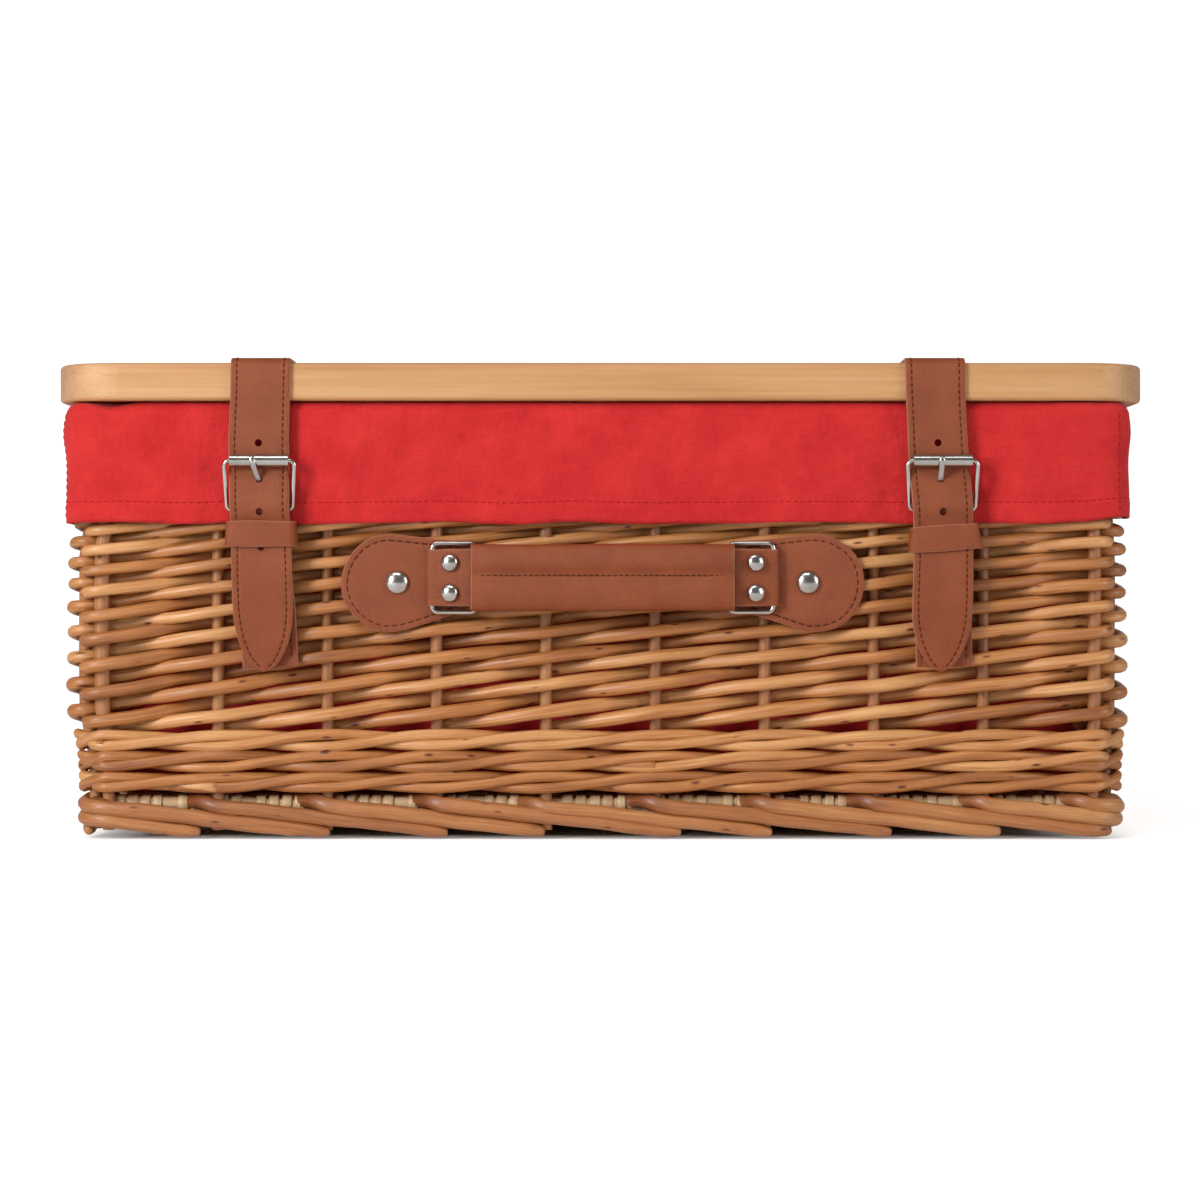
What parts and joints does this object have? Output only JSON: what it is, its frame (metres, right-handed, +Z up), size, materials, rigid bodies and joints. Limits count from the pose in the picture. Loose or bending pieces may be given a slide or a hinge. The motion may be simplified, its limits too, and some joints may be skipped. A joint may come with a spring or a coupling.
{
  "type": "wicker picnic basket",
  "caption": "Rectangular woven-willow picnic hamper with a board lid, a red cloth liner, buckled leather straps and a leather carrying handle.",
  "frame": {"origin": "middle of the whole footprint, handle and straps included, at the height of the surface it stands on; the wicker body's own middle is 4.55 mm behind it", "axes": "+X along the hamper to the viewer's right when the buckles face the viewer, +Y towards the back (hinge side), +Z up"},
  "size_m": [0.478, 0.3434, 0.212],
  "materials": {
    "willow": "buff willow rods, semi-gloss",
    "split_willow": "split willow strips, satin",
    "pale_board": "pale board, clear satin lacquer",
    "red_cloth": "plain-weave cotton, matt",
    "tan_leather": "smooth tan leather, satin",
    "nickel": "bright nickel plate",
    "padding": "felted padding"
  },
  "bodies": {
    "basket": {"corner_stakes": "willow", "long_side_stakes": "willow", "end_stakes": "willow", "base_sticks": "willow", "foot_border": "willow", "lower_wale": "willow", "side_weave": "willow", "upper_wale": "willow", "top_border": "willow", "base_weave": "split_willow", "liner_floor": "red_cloth", "liner_walls": "red_cloth", "liner_cuff": "red_cloth", "patch_rivets": "nickel", "buckle_strap_rivets": "nickel", "hinge_strap_rivets": "nickel", "rivet_washers": "nickel", "left_handle_patch": "tan_leather", "left_buckle_strap": "tan_leather", "left_hinge_strap": "tan_leather", "right_handle_patch": "tan_leather", "right_buckle_strap": "tan_leather", "right_hinge_strap": "tan_leather"},
    "lid": {"lid_board": "pale_board", "lid_screws": "nickel", "left_lid_strap": "tan_leather", "right_lid_strap": "tan_leather"},
    "left_strap_tail": {"left_strap_end": "tan_leather"},
    "left_buckle": {"left_buckle_frame": "nickel"},
    "left_roller": {"left_buckle_roller": "nickel"},
    "left_prong": {"left_buckle_prong": "nickel"},
    "left_keeper_loop": {"left_keeper": "tan_leather"},
    "right_strap_tail": {"right_strap_end": "tan_leather"},
    "right_buckle": {"right_buckle_frame": "nickel"},
    "right_roller": {"right_buckle_roller": "nickel"},
    "right_prong": {"right_buckle_prong": "nickel"},
    "right_keeper_loop": {"right_keeper": "tan_leather"},
    "left_handle_ring": {"left_ring": "nickel"},
    "handle_left_half": {"left_handle_strap": "tan_leather", "left_handle_sleeve": "tan_leather", "left_handle_filler": "padding", "left_tab_rivets": "nickel"},
    "handle_right_half": {"right_handle_strap": "tan_leather", "right_handle_sleeve": "tan_leather", "right_handle_filler": "padding", "right_tab_rivets": "nickel"},
    "right_handle_ring": {"right_ring": "nickel"}
  },
  "joints": [
    {"name": "lid_hinge", "type": "hinge", "parent": "basket", "child": "lid", "pos_m": [0, 0.16955, 0.1915], "axis": [-1, 0, 0], "range_deg": [0, 105]},
    {"name": "left_strap_lift", "type": "hinge", "parent": "lid", "child": "left_strap_tail", "pos_m": [-0.148, -0.15845, 0.206], "axis": [-1, 0, 0], "range_deg": [0, 110], "deforming": ["left_strap_end"]},
    {"name": "left_buckle_swing", "type": "hinge", "parent": "basket", "child": "left_buckle", "pos_m": [-0.148, -0.16245, 0.144], "axis": [1, 0, 0], "range_deg": [0, 60]},
    {"name": "left_prong_swing", "type": "hinge", "parent": "left_buckle", "child": "left_prong", "pos_m": [-0.148, -0.16245, 0.144], "axis": [1, 0, 0], "range_deg": [0, 50]},
    {"name": "left_roller_spin", "type": "hinge", "parent": "left_buckle", "child": "left_roller", "pos_m": [-0.148, -0.16565, 0.1652], "axis": [1, 0, 0], "continuous": true},
    {"name": "left_keeper_slide", "type": "slide", "parent": "basket", "child": "left_keeper_loop", "axis": [0, 0, 1], "range_m": [-0.012, 0.0005]},
    {"name": "right_strap_lift", "type": "hinge", "parent": "lid", "child": "right_strap_tail", "pos_m": [0.1485, -0.15845, 0.206], "axis": [-1, 0, 0], "range_deg": [0, 110], "deforming": ["right_strap_end"]},
    {"name": "right_buckle_swing", "type": "hinge", "parent": "basket", "child": "right_buckle", "pos_m": [0.1485, -0.16245, 0.144], "axis": [1, 0, 0], "range_deg": [0, 60]},
    {"name": "right_prong_swing", "type": "hinge", "parent": "right_buckle", "child": "right_prong", "pos_m": [0.1485, -0.16245, 0.144], "axis": [1, 0, 0], "range_deg": [0, 50]},
    {"name": "right_roller_spin", "type": "hinge", "parent": "right_buckle", "child": "right_roller", "pos_m": [0.1485, -0.16565, 0.1652], "axis": [1, 0, 0], "continuous": true},
    {"name": "right_keeper_slide", "type": "slide", "parent": "basket", "child": "right_keeper_loop", "axis": [0, 0, 1], "range_m": [-0.012, 0.0005]},
    {"name": "handle_pull", "type": "hinge", "parent": "basket", "child": "left_handle_ring", "pos_m": [-0.0542, -0.1589, 0.1144], "axis": [0, 0, 1], "range_deg": [0, 45]},
    {"name": "left_tab_turn", "type": "hinge", "parent": "left_handle_ring", "child": "handle_left_half", "pos_m": [-0.0732, -0.1606, 0.1144], "axis": [0, 0, 1], "range_deg": [-70, 0]},
    {"name": "grip_bend", "type": "hinge", "parent": "handle_left_half", "child": "handle_right_half", "pos_m": [0.001, -0.1606, 0.1144], "axis": [0, 0, 1], "range_deg": [0, 49]},
    {"name": "right_tab_turn", "type": "hinge", "parent": "handle_right_half", "child": "right_handle_ring", "pos_m": [0.0752, -0.1606, 0.1144], "axis": [0, 0, 1], "range_deg": [-70, 0]}
  ],
  "couplings": [
    {"joint": "left_tab_turn", "follows": "handle_pull", "ratio": -1.54},
    {"joint": "grip_bend", "follows": "handle_pull", "ratio": 1.08},
    {"joint": "right_tab_turn", "follows": "handle_pull", "ratio": -1.54}
  ]
}
